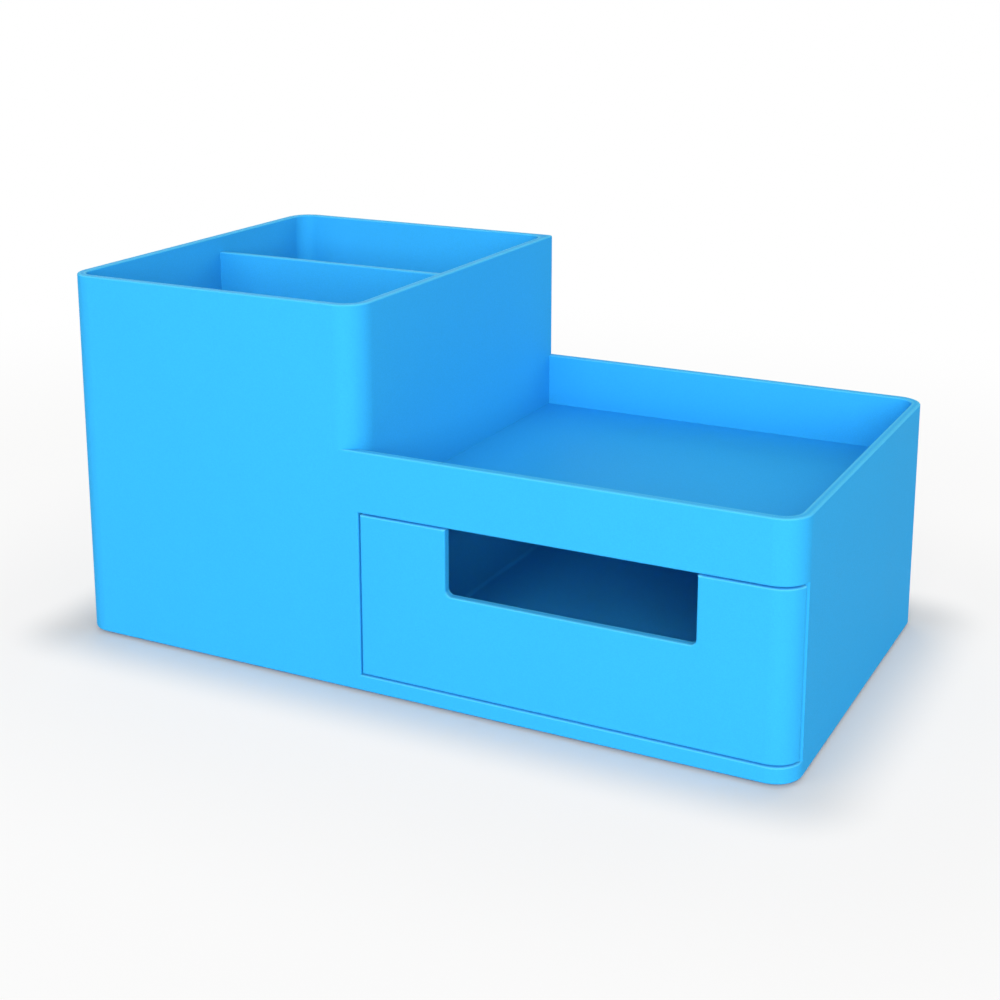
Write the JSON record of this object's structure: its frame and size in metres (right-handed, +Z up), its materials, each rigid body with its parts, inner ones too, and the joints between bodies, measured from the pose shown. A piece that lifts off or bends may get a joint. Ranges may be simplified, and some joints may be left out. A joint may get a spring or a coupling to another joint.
{
  "type": "desk organizer with drawer",
  "caption": "Moulded plastic desk organizer: tall divided pen cup beside a low open tray with a sliding drawer under it, its front wrapped round the corner and notched for a finger.",
  "frame": {"origin": "on the desk, at the bottom middle of the bounding box", "axes": "+X to the right along the front, -Y out of the front, which the drawer opens to, +Z up"},
  "size_m": [0.203, 0.112, 0.1008],
  "materials": {
    "body_plastic": "satin moulded light blue polypropylene",
    "foot_rubber": "matt pale grey"
  },
  "bodies": {
    "body": {"housing": "body_plastic", "foot_front_left": "foot_rubber", "foot_front_right": "foot_rubber", "foot_rear_left": "foot_rubber", "foot_rear_right": "foot_rubber"},
    "drawer": {"drawer": "body_plastic"}
  },
  "joints": [
    {"name": "drawer_slide", "type": "slide", "parent": "body", "child": "drawer", "axis": [0, -1, 0], "range_m": [0, 0.08]}
  ]
}
